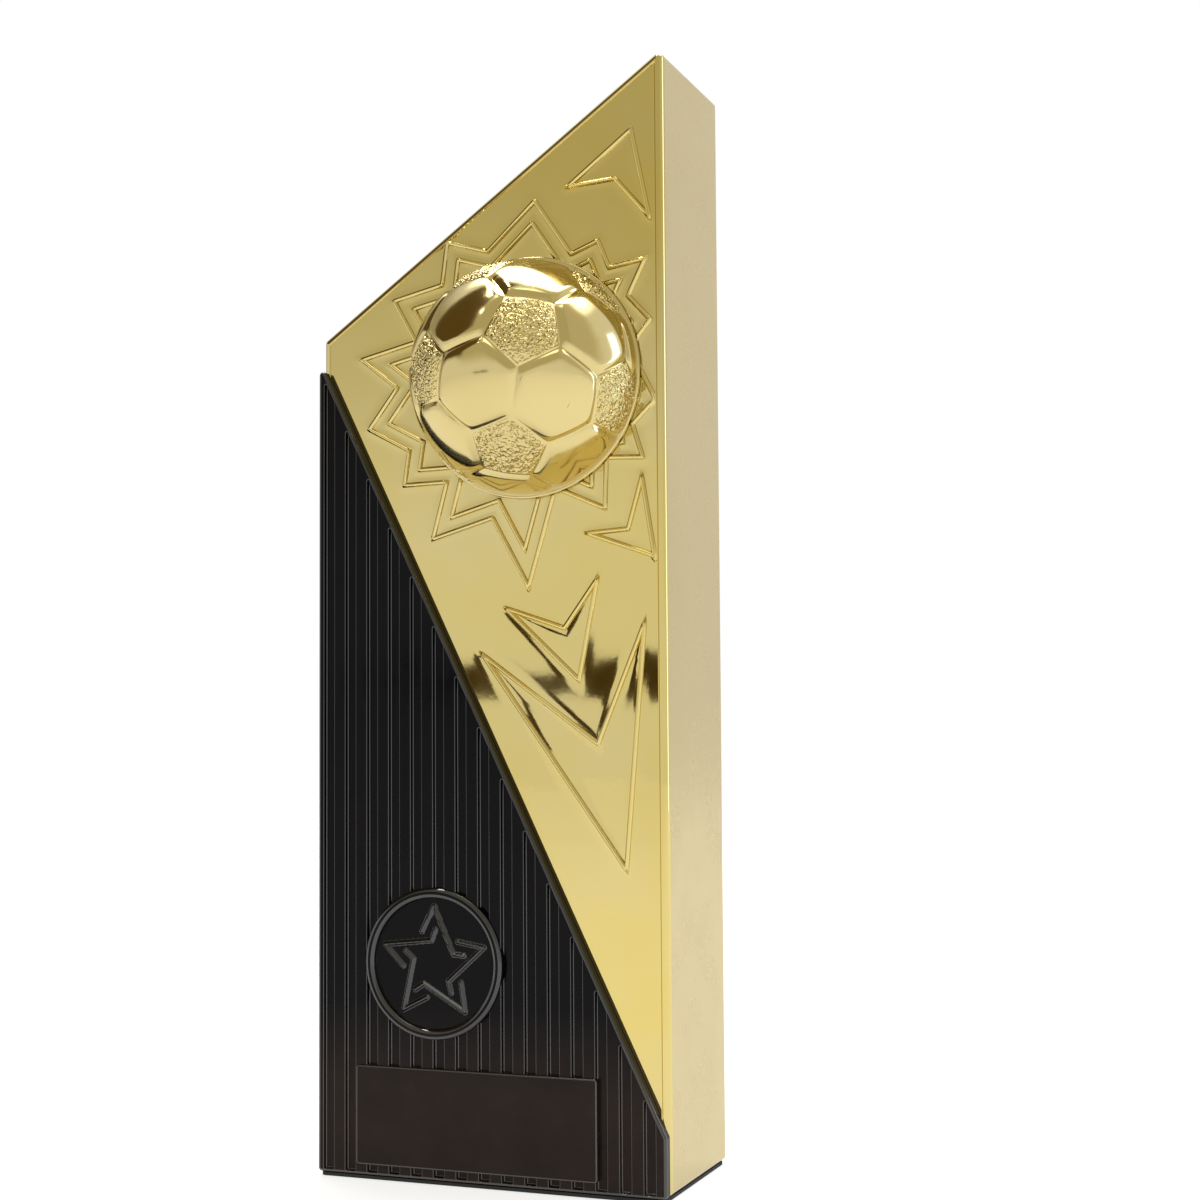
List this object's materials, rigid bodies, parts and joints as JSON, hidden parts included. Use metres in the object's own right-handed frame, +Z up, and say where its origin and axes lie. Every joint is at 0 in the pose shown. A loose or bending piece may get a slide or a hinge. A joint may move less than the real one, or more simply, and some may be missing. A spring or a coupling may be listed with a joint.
{
  "type": "star trophy",
  "caption": "Slant-topped tower trophy with a half football, raised star-burst lines, a fluted dark cover with a star disc and an engraving-plate field.",
  "frame": {"origin": "middle of the tower's plan on the underside of the base pad", "axes": "+Z up, +X to the right as the front is faced, the front looks along -Y"},
  "size_m": [0.072, 0.0567, 0.2141],
  "materials": {
    "gold_plate": "bright gold plating on moulded plastic, satin on the sides",
    "black_gloss": "polished black",
    "black_matte": "fine spark texture",
    "cast_weight": "as cast",
    "zinc_steel": "bright zinc",
    "foam": "closed-cell foam"
  },
  "bodies": {
    "root": {"body_shell": "gold_plate", "fluted_cover": "black_gloss", "football_dome": "gold_plate", "rear_cover": "black_matte", "base_weight": "cast_weight", "weight_foam": "foam", "base_pad": "foam", "rear_screw_1": "zinc_steel", "rear_screw_2": "zinc_steel", "rear_screw_3": "zinc_steel", "rear_screw_4": "zinc_steel", "rear_screw_5": "zinc_steel", "rear_screw_6": "zinc_steel", "cover_clip_1": "zinc_steel", "cover_clip_2": "zinc_steel", "cover_clip_3": "zinc_steel", "cover_clip_4": "zinc_steel", "cover_clip_5": "zinc_steel", "cover_clip_6": "zinc_steel", "football_clip_1": "zinc_steel", "football_clip_2": "zinc_steel", "football_clip_3": "zinc_steel"}
  },
  "joints": []
}
